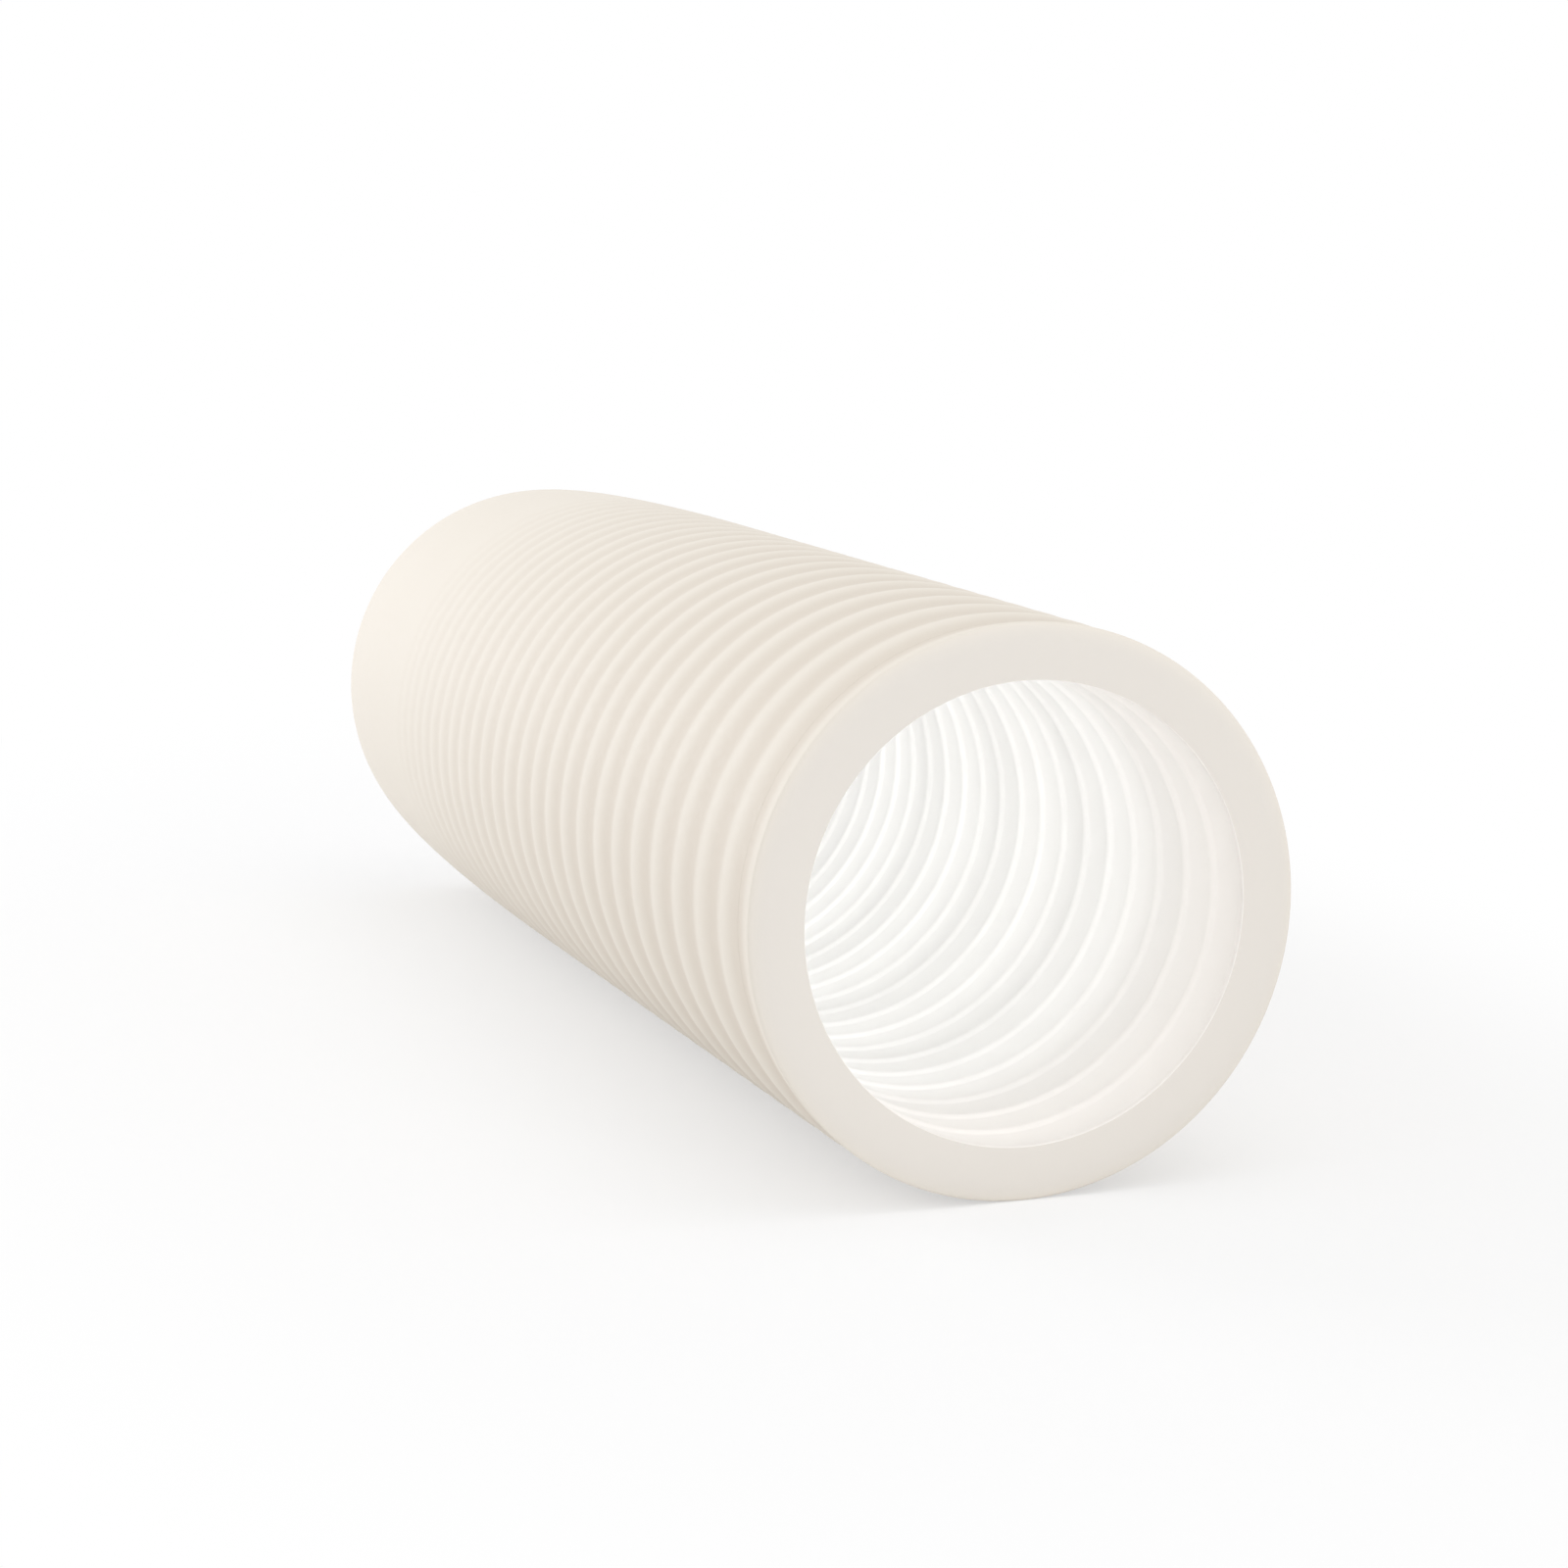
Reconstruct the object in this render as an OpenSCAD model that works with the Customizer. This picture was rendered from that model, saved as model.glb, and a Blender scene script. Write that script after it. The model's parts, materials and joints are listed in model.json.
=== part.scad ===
// Hollow ribbed roller for massage and stretching.
// A rigid core tube with ring ridges in its bore carries a soft ribbed sleeve.
// A soft ring at each end is pushed over the core and covers the end of the wall.
// The axis runs along Y through the origin, which is midway between the end faces.
// The front end is at -Y. The outside closes in gently towards the rear end, at +Y.

/* [Overall] */
// Length from end face to end face
roller_len = 450; // [300:5:600]

/* [Core tube] */
// Free diameter of the bore, at the crests of its ridges
bore_d = 118; // [90:1:140]
// Wall of the core, from a ridge crest to its outside
core_wall = 4.5; // [3.5:0.1:8]
// Height of the bore ridges
ridge_h = 1; // [0.4:0.1:2]
// Width of the flat crest of a bore ridge
ridge_land = 1.2; // [1:0.1:3]
// Run of each sloping side of a bore ridge
ridge_flank = 1.8; // [1:0.1:3]
// Spacing of the bore ridges at the front end
ridge_pitch_front = 16.8; // [12:0.1:24]
// Spacing of the bore ridges at the rear end
ridge_pitch_rear = 9.5; // [9:0.1:20]

/* [Foam sleeve] */
// Wall of the sleeve, up to the rib crests
sleeve_wall = 9.65; // [6:0.05:20]
// Spacing of the ribs at the front end
rib_pitch_front = 19; // [12:0.1:26]
// Spacing of the ribs where they end
rib_pitch_rear = 9.2; // [5:0.1:20]
// Depth of the groove between the first ribs
rib_depth_front = 1; // [0.4:0.1:3]
// Depth of the groove between the last ribs
rib_depth_rear = 0.1; // [0.1:0.1:2]
// Length of the plain run from the last rib to the rear face
plain_len = 90; // [40:1:140]
// Length of the run over which the outside closes in at the rear end
round_len = 170; // [60:1:250]
// Drop of the outside over that run
round_drop = 7.5; // [1:0.1:12]

/* [End rings] */
// Length of each end ring along the axis
ring_len = 11.6; // [8:0.1:20]
// Thickness of the flange that covers the end of the core
flange_t = 1.2; // [1:0.1:4]
// Least wall that an end ring keeps at its rounded edge
ring_wall = 2; // [1:0.1:4]
// Run of the rounded edge of the front end ring, along the axis
edge_run = 1.8; // [1:0.1:7]
// Drop of the rounded edge of the front end ring
edge_drop = 5.5; // [0.5:0.1:6]

/* [Fits] */
// Radial room for adhesive around the core
bond_line = 0.15; // [0.05:0.05:0.3]
// Room between an end ring and the end of the sleeve
butt_gap = 0.1; // [0.05:0.05:0.3]
// Room between the flange of an end ring and the end of the core
seat_gap = 0.1; // [0.05:0.05:0.3]

/* [Hidden] */
$fn = 128;

// Steps that follow one groove, and one rounded edge
GROOVE_STEPS = 8;
EDGE_STEPS = 10;

// Power that narrows the rib crests and widens the grooves
CREST_POWER = 2.5;

// Radii from the bore outwards
bore_r = bore_d / 2;
band_r = bore_r + ridge_h;
core_r = bore_r + core_wall;
seat_r = core_r + bond_line;
crest_r = seat_r + sleeve_wall;

// Roundings keep the least wall of the end rings
front_drop = min(edge_drop, sleeve_wall - ring_wall);
rear_drop = min(round_drop, sleeve_wall - ring_wall);

// Places along the axis, from the front face
core_front = flange_t + seat_gap;
core_rear = roller_len - core_front;
sleeve_front = ring_len + butt_gap;
sleeve_rear = roller_len - sleeve_front;
round_front = roller_len - round_len;
plain_front = roller_len - plain_len;

// Rows of ridges and ribs, each with a spacing that closes up towards the rear
ridge_first = core_front + ridge_land / 2;
ridge_span = core_rear - ridge_land / 2 - ridge_first;
ridge_gaps = gaps(ridge_span, ridge_pitch_front, ridge_pitch_rear);
rib_first = ring_len + rib_pitch_front / 2;
rib_span = plain_front - rib_first;
rib_gaps = gaps(rib_span, rib_pitch_front, rib_pitch_rear);

// Angle on the rear rounding at a place along the axis, and the outside radius over the crests there
function rear_angle(t) = asin(max(0, (t - round_front) / round_len));
function outer_r(t) = crest_r - rear_drop * (1 - cos(rear_angle(t)));

// Number of gaps that fill a span with spacings between two pitches
function gaps(span, first, last) = max(1, round(2 * span / (first + last)));

// Distance from the first of a row to number k, where n gaps fill the span in even steps of spacing
function row_at(k, n, span, first, last) =
    span * graded(k, n, first, last) / graded(n, n, first, last);
function graded(k, n, first, last) = k * first + (last - first) * k * (k - 1) / (2 * max(1, n - 1));

// Places of ridge and rib number k, and the groove depth behind that rib
function ridge_at(k) = ridge_first + row_at(k, ridge_gaps, ridge_span, ridge_pitch_front, ridge_pitch_rear);
function rib_at(k) = rib_first + row_at(k, rib_gaps, rib_span, rib_pitch_front, rib_pitch_rear);
function groove_depth(k) = rib_depth_front + (rib_depth_rear - rib_depth_front) * pow(k / max(1, rib_gaps - 1), 2);

// Share of the groove depth at a share s of the way from crest to crest
function groove_share(s) = 1 - pow(abs(cos(180 * s)), CREST_POWER);

// Points of the groove behind rib k, from its crest up to the next crest
function groove(k) = [
    for (i = [0 : GROOVE_STEPS - 1])
        let (s = i / GROOVE_STEPS, t = rib_at(k) + s * (rib_at(k + 1) - rib_at(k)))
        [outer_r(t) - groove_depth(k) * groove_share(s), t]
];

// Points of half a groove between two places, falling towards the seam or rising from it
function half_groove(t_from, t_to, s_from, s_to) = [
    for (i = [0 : GROOVE_STEPS / 2])
        let (w = 2 * i / GROOVE_STEPS)
        [crest_r - rib_depth_front * groove_share(s_from + w * (s_to - s_from)), t_from + w * (t_to - t_from)]
];

// Points of the plain run, from the last crest to the seam with the rear end ring
function plain_run() = [
    for (i = [0 : EDGE_STEPS])
        let (t = plain_front + (sleeve_rear - plain_front) * i / EDGE_STEPS)
        [outer_r(t), t]
];

// Points of the rear rounding, from a place on it to the rear face
function rear_round(t_from) = [
    for (i = [0 : EDGE_STEPS])
        let (a = rear_angle(t_from) + (90 - rear_angle(t_from)) * i / EDGE_STEPS)
        [crest_r - rear_drop * (1 - cos(a)), round_front + round_len * sin(a)]
];

// Points of the front rounding, from the face to the shoulder
function front_round() = [
    for (i = [0 : EDGE_STEPS])
        let (a = 90 * i / EDGE_STEPS)
        [crest_r - front_drop * (1 - sin(a)), edge_run * (1 - cos(a))]
];

// Points across one bore ridge, from its front foot to its rear foot
function ridge(k) = let (t = ridge_at(k)) [
    if (k > 0) [band_r, t - ridge_land / 2 - ridge_flank],
    [bore_r, t - ridge_land / 2],
    [bore_r, t + ridge_land / 2],
    if (k < ridge_gaps) [band_r, t + ridge_land / 2 + ridge_flank]
];

// Turns a profile of radius and place into a solid about the roller's axis
module turned(profile) {
    translate([0, -roller_len / 2, 0])
        rotate([-90, 0, 0])
            rotate_extrude()
                polygon(profile);
}

module core_tube() {
    bore = [for (k = [0 : ridge_gaps]) each ridge(k)];
    color([0.98, 0.98, 0.97])
        turned(concat(bore, [[core_r, core_rear], [core_r, core_front]]));
}

module foam_sleeve() {
    first_rise = half_groove(sleeve_front, rib_first, 0.5, 1);
    ribs = [for (k = [0 : rib_gaps - 1]) each groove(k)];
    rise_to_crest = [for (i = [0 : len(first_rise) - 2]) first_rise[i]];
    color([0.93, 0.90, 0.85])
        turned(concat(rise_to_crest, ribs, plain_run(), [[seat_r, sleeve_rear], [seat_r, sleeve_front]]));
}

module front_end_ring() {
    fall_to_seam = half_groove(edge_run, ring_len, 0, 0.5);
    fall = [for (i = [1 : len(fall_to_seam) - 1]) fall_to_seam[i]];
    seat = [[seat_r, ring_len], [seat_r, flange_t], [bore_r, flange_t], [bore_r, 0]];
    color([0.91, 0.88, 0.84])
        turned(concat(front_round(), fall, seat));
}

module rear_end_ring() {
    flange_front = roller_len - flange_t;
    ring_front = roller_len - ring_len;
    seat = [[bore_r, roller_len], [bore_r, flange_front], [seat_r, flange_front], [seat_r, ring_front]];
    color([0.91, 0.88, 0.84])
        turned(concat(rear_round(ring_front), seat));
}

core_tube();
foam_sleeve();
front_end_ring();
rear_end_ring();
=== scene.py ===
"""Dresses the hollow ribbed roller: white core tube, cream foam sleeve and two foam end rings.

Every piece is a turned form about the Y axis. Sizes of the roller are in millimetres, as in the part's
source, and become metres only where a mesh or a material is made. The studio around it is in metres.
"""
from __future__ import annotations

import json
import logging
import math
from dataclasses import dataclass, field, replace
from enum import Enum
from typing import Any

import bmesh
import bpy
from mathutils import Euler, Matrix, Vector

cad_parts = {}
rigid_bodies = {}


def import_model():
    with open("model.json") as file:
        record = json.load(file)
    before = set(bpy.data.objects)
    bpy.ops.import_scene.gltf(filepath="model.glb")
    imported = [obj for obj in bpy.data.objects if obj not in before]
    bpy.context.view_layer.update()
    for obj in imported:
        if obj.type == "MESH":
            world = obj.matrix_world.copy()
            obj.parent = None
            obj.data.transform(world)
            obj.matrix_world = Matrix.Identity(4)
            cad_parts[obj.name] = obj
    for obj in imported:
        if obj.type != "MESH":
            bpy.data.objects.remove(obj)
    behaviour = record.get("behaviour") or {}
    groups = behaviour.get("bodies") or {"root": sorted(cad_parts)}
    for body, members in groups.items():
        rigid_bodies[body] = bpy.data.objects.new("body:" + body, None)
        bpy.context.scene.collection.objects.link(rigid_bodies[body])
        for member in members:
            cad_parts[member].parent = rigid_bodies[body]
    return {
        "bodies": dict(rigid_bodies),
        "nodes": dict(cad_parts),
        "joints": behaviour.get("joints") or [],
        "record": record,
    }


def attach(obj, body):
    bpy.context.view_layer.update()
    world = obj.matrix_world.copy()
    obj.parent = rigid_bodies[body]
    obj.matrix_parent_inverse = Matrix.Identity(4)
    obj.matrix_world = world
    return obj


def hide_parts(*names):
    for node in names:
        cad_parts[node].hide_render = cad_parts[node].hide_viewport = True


LOG = logging.getLogger("roller")
MM = 0.001

# Power that narrows the rib crests and widens the grooves
CREST_POWER = 2.5

# Rounding at the mouths of the bore, in millimetres
MOUTH_ROUNDING = 0.3

# Distance along the axis, in millimetres, that lies beyond both ends of the roller
BEYOND = 900.0

# Range that most of a noise texture's values fill
NOISE_RANGE = (0.3, 0.7)

# Distances in metres within which two points are one, and within which a point is on a circle
MERGE_DISTANCE = 1e-6
ON_CIRCLE = 1e-5

# Painted light at the mouths of the bore: a creamy tint of light through the cream foam on the core, and a
# lighter lip on the end rings
PAINTED_MOUTH_LIGHT = (0.925, 0.89, 0.853)

# One place on a turned profile: radius and distance behind the front face, in millimetres
Point = tuple[float, float]
Profile = list[Point]

# Two ends of a range, a place in space and a colour
Range = tuple[float, float]
Place = tuple[float, float, float]
Colour = tuple[float, float, float]


class End(Enum):
    """The two ends of the roller."""

    FRONT = "front"
    REAR = "rear"


class LampShape(Enum):
    """Outline of a lamp's face, by Blender's name for it."""

    SQUARE = "SQUARE"
    ROUND = "DISK"


@dataclass(frozen=True)
class GradedRow:
    """A row of rings whose spacing closes up by even steps from the front to the rear.

    Attributes:
        first: Place of the first ring.
        span: Distance from the first ring to the last.
        pitch_front: Spacing wanted at the front.
        pitch_rear: Spacing wanted at the rear.
    """

    first: float
    span: float
    pitch_front: float
    pitch_rear: float

    @property
    def gaps(self) -> int:
        """Number of spacings that fill the span."""
        return max(1, round(2 * self.span / (self.pitch_front + self.pitch_rear)))

    def _reach(self, k: int) -> float:
        """Unscaled distance from the first ring to ring k."""
        step = (self.pitch_rear - self.pitch_front) / max(1, self.gaps - 1)
        return k * self.pitch_front + step * k * (k - 1) / 2

    def at(self, k: int) -> float:
        """Place of ring k."""
        return self.first + self.span * self._reach(k) / self._reach(self.gaps)


@dataclass(frozen=True)
class RollerSizes:
    """Driving sizes of the roller, with the places and radii that follow from them.

    Attributes:
        length: Distance between the end faces.
        bore_r: Free radius of the bore, at its ridge crests.
        core_wall: Wall of the core, from a ridge crest to its outside.
        ridge_h: Height of the bore ridges.
        ridge_land: Width of the flat crest of a bore ridge.
        ridge_flank: Run of each side of a bore ridge.
        ridge_pitch_front: Spacing of the bore ridges at the front end.
        ridge_pitch_rear: Spacing of the bore ridges at the rear end.
        sleeve_wall: Wall of the sleeve, up to the rib crests.
        rib_pitch_front: Spacing of the ribs at the front end.
        rib_pitch_rear: Spacing of the ribs where they end.
        rib_depth_front: Depth of the groove between the first ribs.
        rib_depth_rear: Depth of the groove between the last ribs.
        plain_len: Length of the plain run from the last rib to the rear face.
        round_len: Length of the run over which the outside closes in.
        round_drop: Drop of the outside over that run.
        ring_len: Length of each end ring along the axis.
        flange_t: Thickness of the flange that covers the end of the core.
        edge_run: Run of the front ring's rounded edge along the axis.
        edge_drop: Drop of the front ring's rounded edge.
        bond_line: Radial room for adhesive around the core.
        butt_gap: Room between an end ring and the end of the sleeve.
        seat_gap: Room between a flange and the end of the core.
    """

    length: float
    bore_r: float
    core_wall: float = 4.5
    ridge_h: float = 1.0
    ridge_land: float = 1.2
    ridge_flank: float = 1.8
    ridge_pitch_front: float = 16.8
    ridge_pitch_rear: float = 9.5
    sleeve_wall: float = 9.65
    rib_pitch_front: float = 19.0
    rib_pitch_rear: float = 9.2
    rib_depth_front: float = 1.0
    rib_depth_rear: float = 0.1
    plain_len: float = 90.0
    round_len: float = 170.0
    round_drop: float = 7.5
    ring_len: float = 11.6
    flange_t: float = 1.2
    edge_run: float = 1.8
    edge_drop: float = 5.5
    bond_line: float = 0.15
    butt_gap: float = 0.1
    seat_gap: float = 0.1

    @classmethod
    def from_frame(cls, frame: dict[str, Any]) -> RollerSizes:
        """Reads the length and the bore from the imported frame.


        Returns:
            The sizes of this roller.
        """
        bore = next(m for m in frame["record"]["mounts"] if m["name"] == "bore")
        return cls(length=bore["dims"]["length_mm"], bore_r=bore["dims"]["r_mm"])

    @property
    def band_r(self) -> float:
        """Radius of the plain bands between the bore ridges."""
        return self.bore_r + self.ridge_h

    @property
    def core_r(self) -> float:
        """Outside radius of the core."""
        return self.bore_r + self.core_wall

    @property
    def seat_r(self) -> float:
        """Inside radius of the sleeve and of the end rings' seats."""
        return self.core_r + self.bond_line

    @property
    def crest_r(self) -> float:
        """Radius over the rib crests."""
        return self.seat_r + self.sleeve_wall

    @property
    def round_front(self) -> float:
        """Place where the outside starts to close in towards the rear."""
        return self.length - self.round_len

    @property
    def plain_front(self) -> float:
        """Place of the last rib, where the plain run starts."""
        return self.length - self.plain_len

    @property
    def ribs(self) -> GradedRow:
        """The ribs of the sleeve."""
        first = self.ring_len + self.rib_pitch_front / 2
        return GradedRow(first, self.plain_front - first, self.rib_pitch_front, self.rib_pitch_rear)

    @property
    def ridges(self) -> GradedRow:
        """The ridges of the bore."""
        inset = self.flange_t + self.seat_gap + self.ridge_land / 2
        span = self.length - 2 * inset
        return GradedRow(inset, span, self.ridge_pitch_front, self.ridge_pitch_rear)

    def groove_depth(self, k: int) -> float:
        """Depth of the groove behind rib k."""
        share = k / max(1, self.ribs.gaps - 1)
        return self.rib_depth_front + (self.rib_depth_rear - self.rib_depth_front) * share**2

    def rear_angle(self, place: float) -> float:
        """Angle on the rear rounding, in radians, at a place along the axis."""
        return math.asin(max(0.0, (place - self.round_front) / self.round_len))

    def outer_r(self, place: float) -> float:
        """Outside radius over the crests at a place along the axis."""
        return self.crest_r - self.round_drop * (1 - math.cos(self.rear_angle(place)))


def groove_share(s: float) -> float:
    """Share of the groove depth at a share s of the way from crest to crest."""
    return 1 - abs(math.cos(math.pi * s)) ** CREST_POWER


class NodeTree:
    """Short hand for making and linking the nodes of one material or world."""

    def __init__(self, tree: bpy.types.NodeTree) -> None:
        """Empties the tree.

        Args:
            tree: The node tree to fill.
        """
        self.tree = tree
        self.tree.nodes.clear()

    def add(self, kind: str, **settings: Any) -> bpy.types.Node:
        """Adds a node.

        Args:
            kind: Blender's name of the node type.
            settings: Properties to set on it.

        Returns:
            The new node.
        """
        node = self.tree.nodes.new(kind)
        for name, value in settings.items():
            setattr(node, name, value)
        return node

    def link(self, output: bpy.types.NodeSocket, target: bpy.types.NodeSocket) -> None:
        """Joins an output socket to an input socket."""
        self.tree.links.new(output, target)

    def maths(self, operation: str, a: Any, b: Any, clamp: bool = False) -> bpy.types.NodeSocket:
        """Adds a math node.

        Args:
            operation: Name of the operation.
            a: First number or output socket.
            b: Second number or output socket.
            clamp: Whether the result is kept between 0 and 1.

        Returns:
            The output socket.
        """
        node = self.add("ShaderNodeMath", operation=operation, use_clamp=clamp)
        for socket, value in zip(node.inputs, (a, b)):
            if isinstance(value, bpy.types.NodeSocket):
                self.link(value, socket)
            else:
                socket.default_value = value
        return node.outputs[0]

    def map_range(
        self,
        value: bpy.types.NodeSocket,
        old: Range,
        new: Range,
        smooth: bool = False,
    ) -> bpy.types.NodeSocket:
        """Adds a map range node.

        Args:
            value: Output socket to map.
            old: Range that the value has.
            new: Range that it is mapped to.
            smooth: Whether the ends ease in and out.

        Returns:
            The output socket.
        """
        easing = "SMOOTHSTEP" if smooth else "LINEAR"
        node = self.add("ShaderNodeMapRange", interpolation_type=easing)
        node.inputs["From Min"].default_value, node.inputs["From Max"].default_value = old
        node.inputs["To Min"].default_value, node.inputs["To Max"].default_value = new
        self.link(value, node.inputs["Value"])
        return node.outputs["Result"]

    def stretched_length(self, vector: bpy.types.NodeSocket, scale: Place) -> bpy.types.NodeSocket:
        """Stretches a vector along each axis and measures it.

        Args:
            vector: Output socket with the vector.
            scale: Factor along each axis.

        Returns:
            The socket with the length.
        """
        stretched = self.add("ShaderNodeVectorMath", operation="MULTIPLY")
        stretched.inputs[1].default_value = scale
        self.link(vector, stretched.inputs[0])
        length = self.add("ShaderNodeVectorMath", operation="LENGTH")
        self.link(stretched.outputs["Vector"], length.inputs[0])
        return length.outputs["Value"]

    def noise(
        self,
        coordinates: bpy.types.NodeSocket,
        scale: float,
        detail: float,
    ) -> bpy.types.NodeSocket:
        """Adds a noise texture.

        Args:
            coordinates: Output socket with the coordinates.
            scale: Scale of the noise, in patches per metre.
            detail: Number of finer layers.

        Returns:
            The value socket.
        """
        node = self.add("ShaderNodeTexNoise")
        node.inputs["Scale"].default_value = scale
        node.inputs["Detail"].default_value = detail
        self.link(coordinates, node.inputs["Vector"])
        return node.outputs["Fac"]

    def mix(self, share: bpy.types.NodeSocket, a: Any, b: Any) -> bpy.types.NodeSocket:
        """Mixes two colours.

        Args:
            share: Output socket with the share of the second colour.
            a: First colour, or its output socket.
            b: Second colour, or its output socket.

        Returns:
            The colour socket.
        """
        node = self.add("ShaderNodeMix", data_type="RGBA")
        inputs = [socket for socket in node.inputs if socket.enabled]
        for socket, value in zip(inputs[1:], (a, b)):
            if isinstance(value, bpy.types.NodeSocket):
                self.link(value, socket)
            else:
                socket.default_value = (*value, 1.0)
        self.link(share, inputs[0])
        return next(socket for socket in node.outputs if socket.enabled)


@dataclass(frozen=True)
class SoftFinish:
    """A matt, milky moulded finish with a fine skin, shade painted darker into its hollows, and painted
    shade and light towards its ends and on the lip of the bore.

    Attributes:
        name: Name of the material.
        crest: Colour on the high places.
        hollow_shade_and_cloud: Painted shade colour in the low places, which the random clouds also lean
            towards.
        low_r: Radius of the low places, in millimetres.
        high_r: Radius of the high places, in millimetres.
        closing: Range along Y over which the outside closes in, in millimetres.
        closing_drop: How far it closes in, in millimetres.
        rib_end: Distance from the middle beyond which no shade is painted in the hollows, in millimetres.
        face: Colour painted towards the ends, as painted shade on the foam's end faces and as a painted
            tint of light at the core's mouths.
        face_range: Distances from the middle between which the face's colour sets in, in millimetres.
        lip: Colour of the lip inside the bore, painted lighter as painted light.
        lip_r: Radius below which a surface is the lip, in millimetres.
        roughness: Range of the surface roughness.
        gloss: Strength of the reflections, where 0.5 is that of common plastic.
        grain: Size of the skin's grain, in millimetres.
        grain_height: Height of the grain, in millimetres.
        grain_blur: How softly the grains run into each other.
        speckle_grains: Width of a patch of one roughness, in grains.
        speckle_detail: Finer layers in those patches.
        cloud_scale: Clouds of colour in a metre.
        cloud_depth: Share of the painted hollow shade colour that a random cloud adds or takes.
        cloud_detail: Finer layers in the clouds.
    """

    name: str
    crest: Colour
    hollow_shade_and_cloud: Colour
    low_r: float
    high_r: float
    face: Colour
    face_range: Range
    roughness: Range
    grain: float
    grain_height: float
    closing: Range = (BEYOND, BEYOND + 1.0)
    closing_drop: float = 0.0
    rib_end: float = BEYOND
    lip: Colour = (1.0, 1.0, 1.0)
    lip_r: float = 0.0
    gloss: float = 0.35
    grain_blur: float = 0.6
    speckle_grains: float = 3.0
    speckle_detail: float = 3.0
    cloud_scale: float = 22.0
    cloud_depth: float = 0.03
    cloud_detail: float = 4.0

    def material(self) -> bpy.types.Material:
        """Builds the node material.

        Returns:
            The material.
        """
        material = bpy.data.materials.new(self.name)
        material.use_nodes = True
        nodes = NodeTree(material.node_tree)
        place = nodes.add("ShaderNodeTexCoord").outputs["Object"]
        shader = nodes.add("ShaderNodeBsdfPrincipled")
        output = nodes.add("ShaderNodeOutputMaterial")
        nodes.link(shader.outputs["BSDF"], output.inputs["Surface"])

        nodes.link(self._colour(nodes, place), shader.inputs["Base Color"])
        speckle = nodes.noise(place, 1 / (self.speckle_grains * self.grain * MM), self.speckle_detail)
        nodes.link(nodes.map_range(speckle, NOISE_RANGE, self.roughness), shader.inputs["Roughness"])
        nodes.link(self._skin(nodes, place), shader.inputs["Normal"])
        shader.inputs["Specular IOR Level"].default_value = self.gloss
        return material

    def _colour(self, nodes: NodeTree, place: bpy.types.NodeSocket) -> bpy.types.NodeSocket:
        """Colour with shade painted in by depth below the crests, painted shade and light by place along
        the axis and on the bore's lip, and faint random clouding.

        Args:
            nodes: Tree to build in.
            place: Object coordinates.

        Returns:
            The colour socket.
        """
        radius = nodes.stretched_length(place, (1.0, 0.0, 1.0))
        split = nodes.add("ShaderNodeSeparateXYZ")
        nodes.link(place, split.inputs[0])
        along = split.outputs["Y"]
        from_middle = nodes.maths("ABSOLUTE", along, 0.0)
        ribbed = nodes.maths("LESS_THAN", from_middle, self.rib_end * MM)
        # Painted shade: the colour darkens towards the hollow shade colour with depth below the crests, and
        # random clouds jitter it.
        depth = nodes.maths("MULTIPLY", self._depth(nodes, radius, along), ribbed)
        cloud = nodes.map_range(
            nodes.noise(place, self.cloud_scale, self.cloud_detail),
            NOISE_RANGE,
            (-self.cloud_depth, self.cloud_depth),
        )
        hollow_shade_and_cloud = nodes.maths("ADD", depth, cloud, clamp=True)
        outside = nodes.mix(hollow_shade_and_cloud, self.crest, self.hollow_shade_and_cloud)
        # Painted shade and light: the face colour sets in towards the ends, and the lip colour inside the
        # bore.
        face_start, face_end = self.face_range
        painted_end_share = nodes.map_range(from_middle, (face_start * MM, face_end * MM), (0.0, 1.0))
        painted_lip_share = nodes.maths("LESS_THAN", radius, self.lip_r * MM)
        return nodes.mix(painted_lip_share, nodes.mix(painted_end_share, outside, self.face), self.lip)

    def _depth(
        self,
        nodes: NodeTree,
        radius: bpy.types.NodeSocket,
        along: bpy.types.NodeSocket,
    ) -> bpy.types.NodeSocket:
        """Depth below the crests, which follow the outside where it closes in.

        Args:
            nodes: Tree to build in.
            radius: Distance from the axis.
            along: Place along the axis.

        Returns:
            The socket with the depth, from 0 on a crest to 1 in the deepest hollow, which sets how much
            shade is painted.
        """
        closing_start, closing_end = self.closing
        behind = nodes.map_range(along, (closing_start * MM, closing_end * MM), (0.0, 1.0))
        squared = nodes.maths("MULTIPLY", behind, behind)
        level = nodes.maths("SQRT", nodes.maths("SUBTRACT", 1.0, squared), 0.0)
        drop = nodes.maths("MULTIPLY", nodes.maths("SUBTRACT", 1.0, level), self.closing_drop * MM)
        unclosed = nodes.maths("ADD", radius, drop)
        return nodes.map_range(unclosed, (self.high_r * MM, self.low_r * MM), (0.0, 1.0))

    def _skin(self, nodes: NodeTree, place: bpy.types.NodeSocket) -> bpy.types.NodeSocket:
        """Fine grain of the moulded skin.

        Args:
            nodes: Tree to build in.
            place: Object coordinates.

        Returns:
            The normal socket.
        """
        cells = nodes.add("ShaderNodeTexVoronoi", feature="SMOOTH_F1")
        cells.inputs["Scale"].default_value = 1 / (self.grain * MM)
        cells.inputs["Smoothness"].default_value = self.grain_blur
        nodes.link(place, cells.inputs["Vector"])
        bump = nodes.add("ShaderNodeBump")
        bump.inputs["Strength"].default_value = 1.0
        bump.inputs["Distance"].default_value = self.grain_height * MM
        nodes.link(cells.outputs["Distance"], bump.inputs["Height"])
        return bump.outputs["Normal"]


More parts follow.
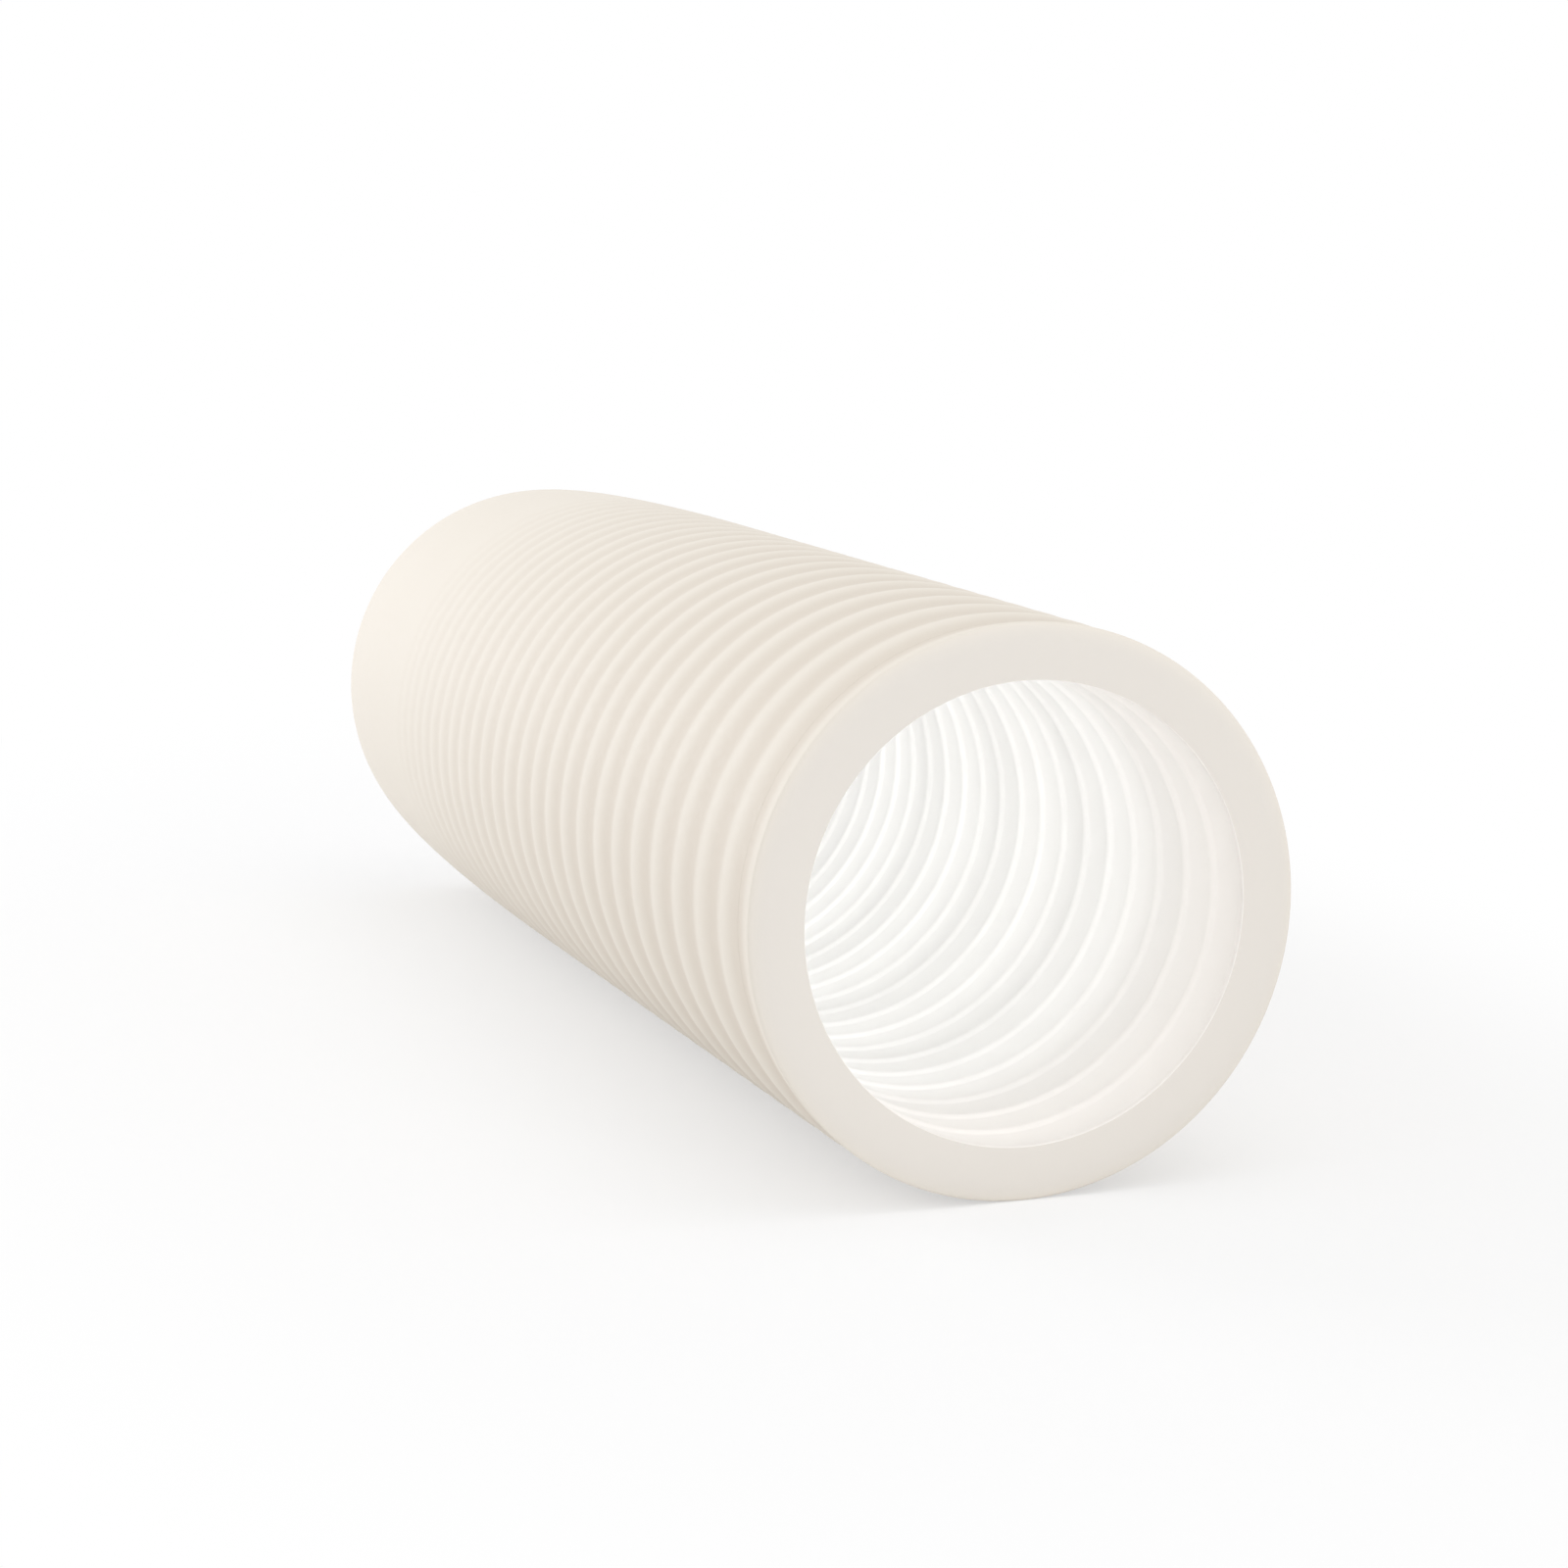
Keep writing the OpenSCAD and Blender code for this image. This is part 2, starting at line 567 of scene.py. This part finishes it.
@dataclass
class TurnedPiece:
    """A piece that is turned about the roller's axis.

    Attributes:
        sizes: Sizes of the roller.
        node: Name of the CAD node that the piece stands for.
        finish: Finish that dresses it.
        slot: Material slot of the record; not used.
        spin_steps: Faces around the axis.
        sharp_angle: Angle between two faces from which their edge shades sharp, in radians.
        rounding: Size of the rounding on the edges that is_rounded picks, in millimetres.
        rounding_steps: Faces across that rounding.
    """

    sizes: RollerSizes
    node: str
    finish: SoftFinish
    slot: str
    spin_steps: int = 160
    sharp_angle: float = math.radians(32)
    rounding: float = MOUTH_ROUNDING
    rounding_steps: int = 3

    @property
    def name(self) -> str:
        """Name of the visible piece."""
        return f"{self.node}_skin"

    def profile(self) -> Profile:
        """Closed outline of the piece's section."""
        raise NotImplementedError

    def is_rounded(self, edge: bmesh.types.BMEdge) -> bool:
        """Tells whether an edge gets a small rounding."""
        return False

    def build(self) -> bpy.types.Object:
        """Turns, rounds and dresses the piece, and hands it to the frame.

        Returns:
            The finished object.
        """
        mesh = bpy.data.meshes.new(self.name)
        shape = bmesh.new()
        self._turn(shape)
        self._round(shape)
        self._shade(shape)
        shape.to_mesh(mesh)
        shape.free()
        piece = bpy.data.objects.new(self.name, mesh)
        bpy.context.scene.collection.objects.link(piece)
        mesh.materials.append(self.finish.material())
        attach(piece, "root")
        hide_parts(self.node)
        LOG.info("%s: %d faces", self.name, len(mesh.polygons))
        return piece

    def _turn(self, shape: bmesh.types.BMesh) -> None:
        """Spins the section once round the axis.

        Args:
            shape: Empty mesh to fill.
        """
        middle = self.sizes.length / 2
        corners = [shape.verts.new((r * MM, (t - middle) * MM, 0.0)) for r, t in self.profile()]
        edges = [shape.edges.new((a, b)) for a, b in zip(corners, corners[1:] + corners[:1])]
        bmesh.ops.spin(
            shape,
            geom=corners + edges,
            cent=(0.0, 0.0, 0.0),
            axis=(0.0, 1.0, 0.0),
            angle=math.tau,
            steps=self.spin_steps,
            use_merge=True,
        )
        bmesh.ops.remove_doubles(shape, verts=shape.verts, dist=MERGE_DISTANCE)
        bmesh.ops.recalc_face_normals(shape, faces=shape.faces)

    def _round(self, shape: bmesh.types.BMesh) -> None:
        """Rounds the edges that is_rounded picks.

        Args:
            shape: Turned mesh.
        """
        edges = [edge for edge in shape.edges if self.is_rounded(edge)]
        if edges:
            bmesh.ops.bevel(
                shape,
                geom=edges,
                offset=self.rounding * MM,
                offset_type="OFFSET",
                affect="EDGES",
                segments=self.rounding_steps,
                profile=0.5,
                material=-1,
            )

    def _shade(self, shape: bmesh.types.BMesh) -> None:
        """Shades the faces smooth, apart from sharp edges.

        Args:
            shape: Turned mesh.
        """
        for face in shape.faces:
            face.smooth = True
        for edge in shape.edges:
            edge.smooth = edge.calc_face_angle(0.0) < self.sharp_angle

    def _ring_edge(self, edge: bmesh.types.BMEdge, radius: float, place: float) -> bool:
        """Tells whether an edge lies on a circle about the axis.

        Args:
            edge: The edge.
            radius: Radius of the circle.
            place: Place of the circle along the axis.

        Returns:
            True if both ends of the edge are on the circle.
        """
        wanted_y = (place - self.sizes.length / 2) * MM
        return all(
            abs(math.hypot(corner.co.x, corner.co.z) - radius * MM) < ON_CIRCLE
            and abs(corner.co.y - wanted_y) < ON_CIRCLE
            for corner in edge.verts
        )


@dataclass
class CoreTube(TurnedPiece):
    """The rigid white tube, with rounded ring ridges along its bore.

    Attributes:
        flank_steps: Faces up each side of a ridge.
    """

    flank_steps: int = 4

    def profile(self) -> Profile:
        """Closed outline of the core's section.

        Returns:
            The points, along the bore and back along the outside.
        """
        s = self.sizes
        front = s.flange_t + s.seat_gap
        bore = [point for k in range(s.ridges.gaps + 1) for point in self._ridge(k)]
        return bore + [(s.core_r, s.length - front), (s.core_r, front)]

    def _ridge(self, k: int) -> Profile:
        """Points across ridge k, from its front foot to its rear foot.

        Args:
            k: Number of the ridge.

        Returns:
            The points, from front to rear.
        """
        s = self.sizes
        place = s.ridges.at(k)
        half = s.ridge_land / 2
        shares = [i / self.flank_steps for i in range(self.flank_steps + 1)]
        rise = [(s.band_r - s.ridge_h * (1 - math.cos(math.pi * share)) / 2, share) for share in shares]
        points: Profile = []
        if k > 0:
            points += [(r, place - half - s.ridge_flank * (1 - share)) for r, share in rise]
        else:
            points.append((s.bore_r, place - half))
        if k < s.ridges.gaps:
            points += [(r, place + half + s.ridge_flank * (1 - share)) for r, share in reversed(rise)]
        else:
            points.append((s.bore_r, place + half))
        return points


@dataclass
class FoamSleeve(TurnedPiece):
    """The soft sleeve with its rounded ring ribs and its plain rear run.

    Attributes:
        groove_steps: Faces across a groove.
        plain_steps: Faces along the plain run.
    """

    groove_steps: int = 16
    plain_steps: int = 24

    def profile(self) -> Profile:
        """Closed outline of the sleeve's section.

        Returns:
            The points, along the outside and back along the seat.
        """
        s = self.sizes
        front = s.ring_len + s.butt_gap
        rear = s.length - front
        points = self._first_rise(front)
        for k in range(s.ribs.gaps):
            points += self._groove(k)
        step = (rear - s.plain_front) / self.plain_steps
        places = [s.plain_front + step * i for i in range(self.plain_steps + 1)]
        points += [(s.outer_r(place), place) for place in places]
        return points + [(s.seat_r, rear), (s.seat_r, front)]

    def _first_rise(self, front: float) -> Profile:
        """Points from the seam in the first groove up to the first crest, without that crest.

        Args:
            front: Place of the sleeve's front end.

        Returns:
            The points, from front to rear.
        """
        s = self.sizes
        steps = self.groove_steps // 2
        return [
            (
                s.crest_r - s.rib_depth_front * groove_share(0.5 + 0.5 * i / steps),
                front + (s.ribs.first - front) * i / steps,
            )
            for i in range(steps)
        ]

    def _groove(self, k: int) -> Profile:
        """Points of the groove behind rib k, from its crest up to the next crest, without that one.

        Args:
            k: Number of the rib.

        Returns:
            The points, from front to rear.
        """
        s = self.sizes
        start = s.ribs.at(k)
        run = s.ribs.at(k + 1) - start
        points: Profile = []
        for i in range(self.groove_steps):
            share = i / self.groove_steps
            place = start + run * share
            points.append((s.outer_r(place) - s.groove_depth(k) * groove_share(share), place))
        return points


@dataclass
class EndRing(TurnedPiece):
    """A soft ring over one end of the core, which covers the end of the wall.

    Attributes:
        end: End of the roller that it is on.
        edge_steps: Faces along its rounded edge.
        groove_steps: Faces from the shoulder down to the first groove.
    """

    end: End = End.FRONT
    edge_steps: int = 16
    groove_steps: int = 8

    def profile(self) -> Profile:
        """Closed outline of the ring's section."""
        return self._front() if self.end is End.FRONT else self._rear()

    def is_rounded(self, edge: bmesh.types.BMEdge) -> bool:
        """Rounds the mouth of the bore."""
        place = 0.0 if self.end is End.FRONT else self.sizes.length
        return self._ring_edge(edge, self.sizes.bore_r, place)

    def _front(self) -> Profile:
        """Section with a soft shoulder that falls into the first groove.

        Returns:
            The points, from the face over the shoulder and back along the seat.
        """
        s = self.sizes
        angles = [math.pi / 2 * i / self.edge_steps for i in range(self.edge_steps + 1)]
        shoulder = [
            (s.crest_r - s.edge_drop * (1 - math.sin(angle)), s.edge_run * (1 - math.cos(angle)))
            for angle in angles
        ]
        fall = [
            (
                s.crest_r - s.rib_depth_front * groove_share(0.5 * i / self.groove_steps),
                s.edge_run + (s.ring_len - s.edge_run) * i / self.groove_steps,
            )
            for i in range(1, self.groove_steps + 1)
        ]
        seat = [(s.seat_r, s.ring_len), (s.seat_r, s.flange_t)]
        lip = [(s.bore_r, s.flange_t), (s.bore_r, 0.0)]
        return shoulder + fall + seat + lip

    def _rear(self) -> Profile:
        """Section that carries on the rounding of the plain rear run.

        Returns:
            The points, from the seam over the edge and back along the seat.
        """
        s = self.sizes
        seam = s.length - s.ring_len
        flange = s.length - s.flange_t
        start = s.rear_angle(seam)
        step = (math.pi / 2 - start) / self.edge_steps
        angles = [start + step * i for i in range(self.edge_steps + 1)]
        edge = [
            (
                s.crest_r - s.round_drop * (1 - math.cos(angle)),
                s.round_front + s.round_len * math.sin(angle),
            )
            for angle in angles
        ]
        lip = [(s.bore_r, s.length), (s.bore_r, flange)]
        seat = [(s.seat_r, flange), (s.seat_r, seam)]
        return edge + lip + seat


@dataclass(frozen=True)
class Lamp:
    """A soft box that the camera doesn't see.

    Attributes:
        name: Name of the lamp.
        place: Where it stands, in metres.
        aim: Point that it faces, in metres.
        size: Length of its side, or its diameter, in metres.
        power: Its power, in watts.
        colour: Colour of its light.
        shape: Outline of its face.
    """

    name: str
    place: Place
    aim: Place
    size: float
    power: float
    colour: Colour = (1.0, 1.0, 1.0)
    shape: LampShape = LampShape.SQUARE

    def build(self) -> None:
        """Adds the lamp to the scene."""
        light = bpy.data.lights.new(self.name, "AREA")
        light.shape = self.shape.value
        light.size = self.size
        light.energy = self.power
        light.color = self.colour
        lamp = bpy.data.objects.new(self.name, light)
        lamp.location = self.place
        direction = Vector(self.aim) - Vector(self.place)
        lamp.rotation_euler = direction.to_track_quat("-Z", "Y").to_euler()
        lamp.visible_camera = False
        bpy.context.scene.collection.objects.link(lamp)


@dataclass(frozen=True)
class BoreRow:
    """A row of small round lamps along the axis, which face the rear and light the bore.

    Attributes:
        first: Place of the first lamp along the axis, in metres.
        last: Place of the last lamp along the axis, in metres.
        powers: Power of each lamp from first to last, in watts.
        size: Diameter of each lamp, in metres.
    """

    first: float
    last: float
    powers: tuple[float, ...]
    size: float = 0.04

    def build(self) -> None:
        """Adds the lamps to the scene."""
        spacing = (self.last - self.first) / max(1, len(self.powers) - 1)
        for index, power in enumerate(self.powers):
            along = self.first + spacing * index
            Lamp(
                name=f"bore_lamp_{index + 1}",
                place=(0.0, along, 0.0),
                aim=(0.0, along + 1.0, 0.0),
                size=self.size,
                power=power,
                shape=LampShape.ROUND,
            ).build()


@dataclass
class Studio:
    """White floor, white surroundings, soft boxes and the camera.

    Attributes:
        floor_z: Height of the floor, in metres.
        floor_radius: Radius of the floor, in metres.
        floor_sides: Sides of its outline.
        floor_tone: Grey of the floor as it is seen.
        bounce_tone: Grey of the floor for the light that it throws back on the roller.
        shadow_reach: Half width and half length of the oval that keeps the shadow, in metres.
        fade: Multiple of that oval's size beyond which the floor is plain white.
        floor_lift: Share of plain white in the oval.
        sky: Strength of the even light from all around.
        camera_place: Where the camera stands, in metres.
        camera_heading: How far it looks to the right of the roller's axis, in radians.
        camera_drop: How far it looks down, in radians.
        camera_lens: Focal length, in millimetres.
        camera_sensor: Width of the sensor, in millimetres.
        camera_far: Distance up to which it sees, in metres.
        bore_row: The lamps in the bore, for the light that a milky wall lets in.
        lamps: The soft boxes.
    """

    floor_z: float
    floor_radius: float = 6.0
    floor_sides: int = 96
    floor_tone: float = 0.97
    bounce_tone: float = 0.84
    shadow_reach: Range = (0.16, 0.34)
    fade: float = 2.0
    floor_lift: float = 0.5
    sky: float = 0.785
    camera_place: Place = (-0.3675, -1.0795, 0.1898)
    camera_heading: float = math.radians(19.53)
    camera_drop: float = math.radians(9.577)
    camera_lens: float = 87.59
    camera_sensor: float = 36.0
    camera_far: float = 50.0
    bore_row: BoreRow = BoreRow(
        first=-0.235,
        last=0.108,
        powers=(0.0137, 0.0132, 0.0145, 0.0152, 0.0156, 0.0115, 0.0040),
    )
    lamps: list[Lamp] = field(
        default_factory=lambda: [
            Lamp("key", (-1.2, 1.35, 0.55), (0.0, 0.0, 0.0), 1.0, 9.9, (0.94, 0.95, 1.0)),
            Lamp("fill", (0.5, -1.7, 0.13), (0.0, -0.2, 0.0), 0.4, 3.65),
            Lamp("side", (-0.9, -1.45, 0.15), (0.0, -0.2, 0.0), 0.4, 1.25),
            Lamp("top", (0.3, -0.5, 1.7), (0.0, -0.1, 0.0), 1.4, 4.4),
        ]
    )

    def build(self) -> None:
        """Builds the whole studio."""
        self._floor()
        self._world()
        for lamp in self.lamps:
            lamp.build()
        self.bore_row.build()
        self._camera()
        bpy.context.scene.view_settings.view_transform = "Standard"

    @staticmethod
    def _seen(nodes: NodeTree) -> bpy.types.NodeSocket:
        """Tells rays that see the background, straight, in a gloss or through glass, from those that light.

        Args:
            nodes: Tree to build in.

        Returns:
            The socket, which is 1 for rays that see.
        """
        rays = nodes.add("ShaderNodeLightPath").outputs
        seen = nodes.maths("MAXIMUM", rays["Is Camera Ray"], rays["Is Glossy Ray"])
        return nodes.maths("MAXIMUM", seen, rays["Is Transmission Ray"])

    def _floor(self) -> None:
        """Adds the floor, which fades to plain white away from the roller."""
        mesh = bpy.data.meshes.new("floor")
        shape = bmesh.new()
        bmesh.ops.create_circle(shape, cap_ends=True, radius=self.floor_radius, segments=self.floor_sides)
        bmesh.ops.translate(shape, verts=shape.verts, vec=(0.0, 0.0, self.floor_z))
        shape.to_mesh(mesh)
        shape.free()
        floor = bpy.data.objects.new("floor", mesh)
        bpy.context.scene.collection.objects.link(floor)
        mesh.materials.append(self._floor_material())

    def _floor_material(self) -> bpy.types.Material:
        """Matt white that keeps the shadow near the roller.

        Returns:
            The material.
        """
        material = bpy.data.materials.new("white_floor")
        material.use_nodes = True
        nodes = NodeTree(material.node_tree)
        place = nodes.add("ShaderNodeTexCoord").outputs["Object"]
        half_width, half_length = self.shadow_reach
        distance = nodes.stretched_length(place, (1 / half_width, 1 / half_length, 0.0))
        away = nodes.map_range(distance, (1.0, self.fade), (self.floor_lift, 1.0), smooth=True)
        seen = self._seen(nodes)
        share = nodes.maths("MULTIPLY", away, seen)
        tone = nodes.map_range(seen, (0.0, 1.0), (self.bounce_tone, self.floor_tone))
        matt = nodes.add("ShaderNodeBsdfDiffuse")
        nodes.link(tone, matt.inputs["Color"])
        white = nodes.add("ShaderNodeEmission")
        blend = nodes.add("ShaderNodeMixShader")
        output = nodes.add("ShaderNodeOutputMaterial")
        nodes.link(share, blend.inputs["Fac"])
        nodes.link(matt.outputs["BSDF"], blend.inputs[1])
        nodes.link(white.outputs["Emission"], blend.inputs[2])
        nodes.link(blend.outputs["Shader"], output.inputs["Surface"])
        return material

    def _world(self) -> None:
        """Surrounds the roller with even white light on a white background."""
        world = bpy.data.worlds.new("white_room")
        bpy.context.scene.world = world
        world.use_nodes = True
        nodes = NodeTree(world.node_tree)
        background = nodes.add("ShaderNodeBackground")
        output = nodes.add("ShaderNodeOutputWorld")
        strength = nodes.map_range(self._seen(nodes), (0.0, 1.0), (self.sky, 1.0))
        nodes.link(strength, background.inputs["Strength"])
        background.inputs["Color"].default_value = (1.0, 1.0, 1.0, 1.0)
        nodes.link(background.outputs["Background"], output.inputs["Surface"])

    def _camera(self) -> None:
        """Adds the camera at the photograph's viewing angle."""
        data = bpy.data.cameras.new("camera")
        data.lens = self.camera_lens
        data.sensor_width = self.camera_sensor
        data.clip_end = self.camera_far
        camera = bpy.data.objects.new("camera", data)
        camera.location = self.camera_place
        camera.rotation_euler = Euler((math.pi / 2 - self.camera_drop, 0.0, -self.camera_heading))
        bpy.context.scene.collection.objects.link(camera)
        bpy.context.scene.camera = camera


def cream_foam(sizes: RollerSizes) -> SoftFinish:
    """Matt cream foam with a smooth skin, with painted shade in the rib grooves and on the greyer end
    faces, and painted light on the nearly white lip of the bore.

    Args:
        sizes: Sizes of the roller.

    Returns:
        The finish.
    """
    middle = sizes.length / 2
    return SoftFinish(
        name="cream_foam",
        crest=(0.862, 0.805, 0.718),
        # Painted shade: darker colour in the rib grooves.
        hollow_shade_and_cloud=(0.76, 0.69, 0.60),
        low_r=sizes.crest_r - sizes.rib_depth_front,
        high_r=sizes.crest_r,
        closing=(sizes.round_front - middle, middle),
        closing_drop=sizes.round_drop,
        rib_end=middle - sizes.edge_run,
        # Painted shade: greyer colour on the rounded edges and end faces.
        face=(0.7875, 0.745, 0.691),
        face_range=(middle - sizes.edge_run, middle),
        # Painted light: near-white lip of the bore.
        lip=PAINTED_MOUTH_LIGHT,
        lip_r=sizes.bore_r + MOUTH_ROUNDING / 2,
        roughness=(0.55, 0.7),
        grain=0.7,
        grain_height=0.02,
    )


def white_core(sizes: RollerSizes) -> SoftFinish:
    """Matt white moulded plastic, with painted shade on the bands between the bore ridges and a painted
    creamy tint of light through the foam towards the mouths of the bore.

    Args:
        sizes: Sizes of the roller.

    Returns:
        The finish.
    """
    return SoftFinish(
        name="white_core",
        crest=(0.951, 0.948, 0.937),
        # Painted shade: slightly darker bands between the bore ridges.
        hollow_shade_and_cloud=(0.942, 0.939, 0.928),
        low_r=sizes.band_r,
        high_r=sizes.bore_r,
        # Painted light: creamy tint towards the mouths of the bore.
        face=PAINTED_MOUTH_LIGHT,
        face_range=(sizes.length / 3, sizes.length / 2),
        roughness=(0.4, 0.5),
        grain=0.5,
        grain_height=0.01,
    )


def main(frame: dict[str, Any]) -> None:
    """Builds every piece and the studio around them.
    """
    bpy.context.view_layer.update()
    sizes = RollerSizes.from_frame(frame)
    foam = cream_foam(sizes)
    ring_foam = replace(foam, name="cream_end_foam", grain_height=0.015)
    white = white_core(sizes)
    pieces: list[TurnedPiece] = [
        CoreTube(sizes, "core_tube", white, "core"),
        FoamSleeve(sizes, "foam_sleeve", foam, "foam"),
        EndRing(sizes, "front_end_ring", ring_foam, "end_ring", end=End.FRONT),
        EndRing(sizes, "rear_end_ring", ring_foam, "end_ring", end=End.REAR),
    ]
    for piece in pieces:
        made = piece.build()
    Studio(floor_z=-sizes.crest_r * MM).build()


if __name__ == "__main__":
    logging.basicConfig(level=logging.INFO, format="%(name)s: %(message)s")
    main(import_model())
